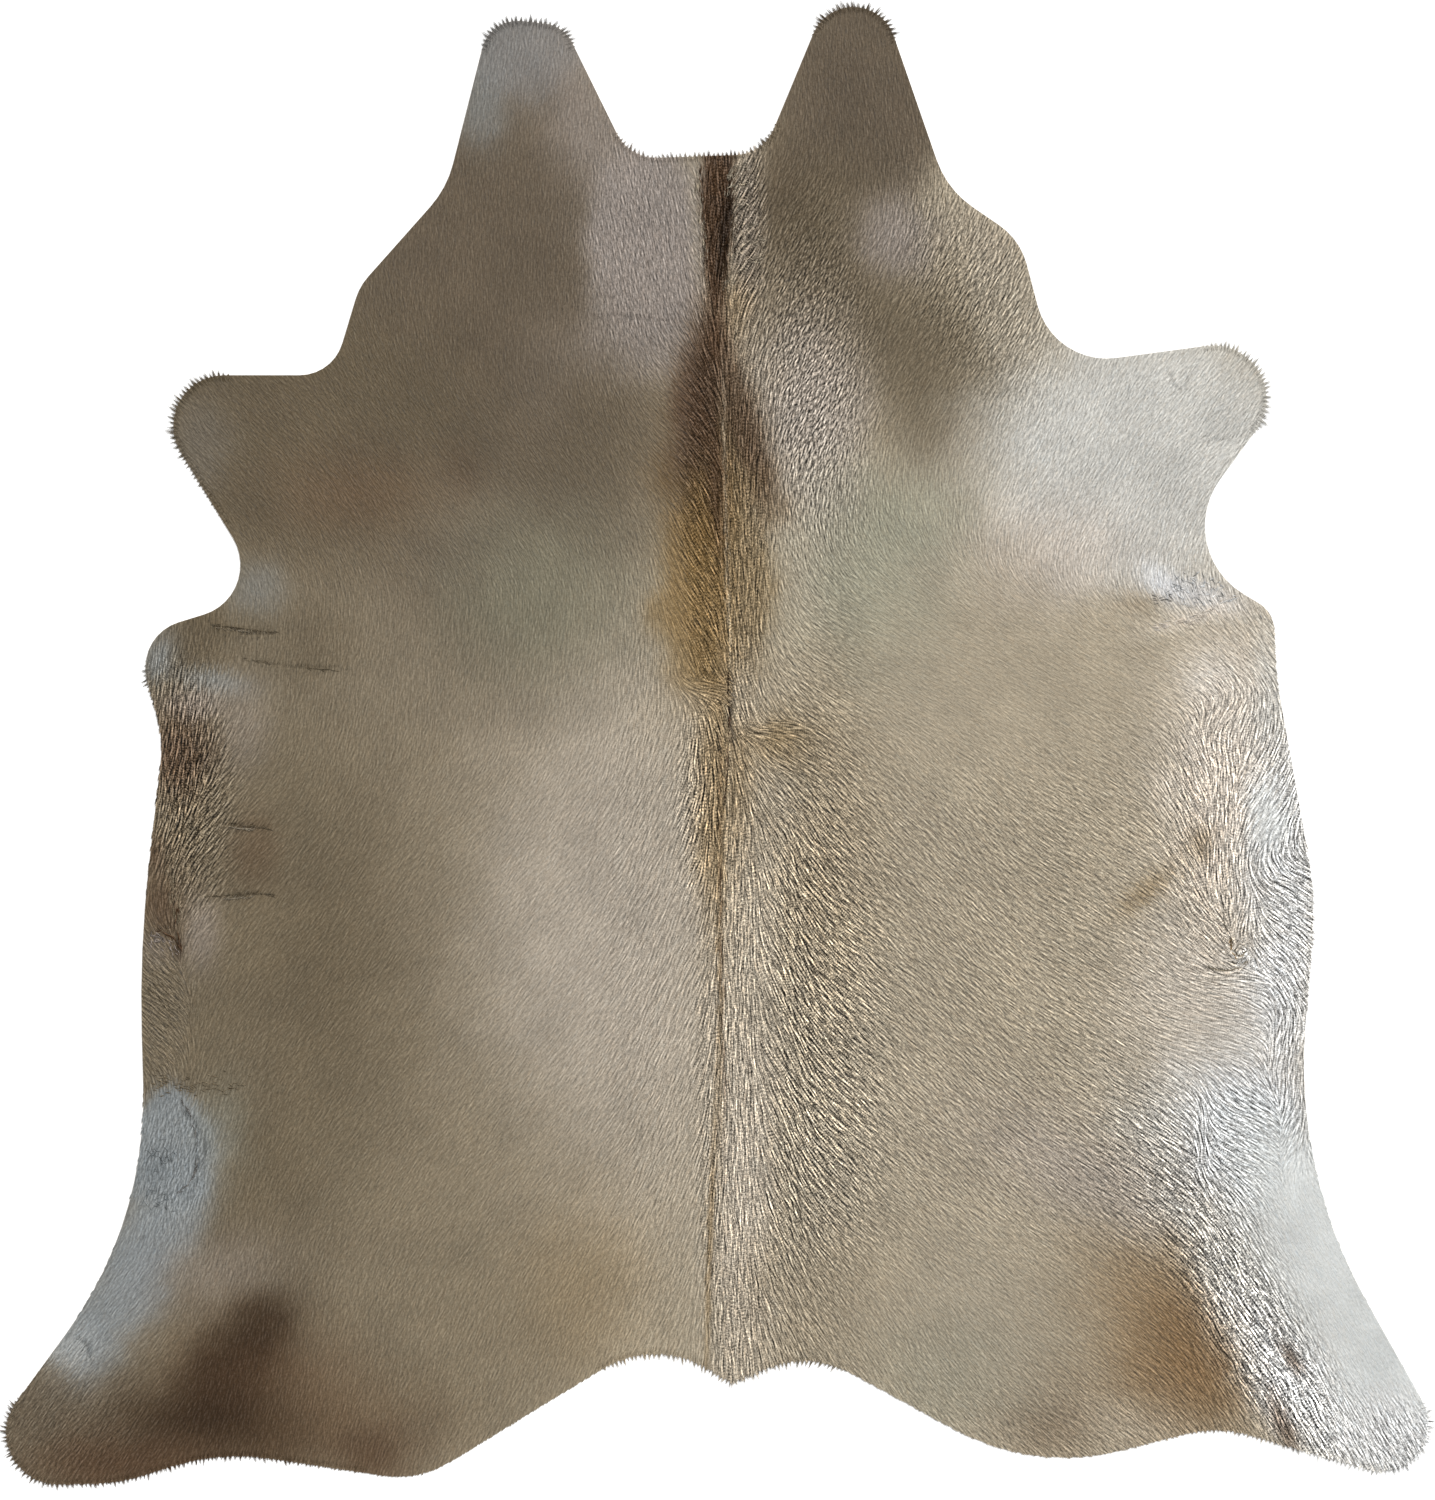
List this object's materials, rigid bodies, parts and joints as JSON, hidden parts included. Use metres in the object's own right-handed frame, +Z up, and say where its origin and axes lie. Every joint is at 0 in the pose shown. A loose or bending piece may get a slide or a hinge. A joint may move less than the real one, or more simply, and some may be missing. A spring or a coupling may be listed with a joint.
{
  "type": "cowhide rug",
  "caption": "Flat hair-on cowhide rug with neck flaps, legs and tail edge, lying hair side up on the floor.",
  "frame": {"origin": "on the floor, under the middle of the hide", "axes": "+Y towards the neck, +X to the right as seen from above with the neck at the top, +Z up out of the hair"},
  "size_m": [2.0802, 2.1596, 0.0096],
  "materials": {
    "coat": "short hair in brindled beige, taupe and silver, suede underside"
  },
  "bodies": {
    "root": {"hide": "coat"}
  },
  "joints": []
}
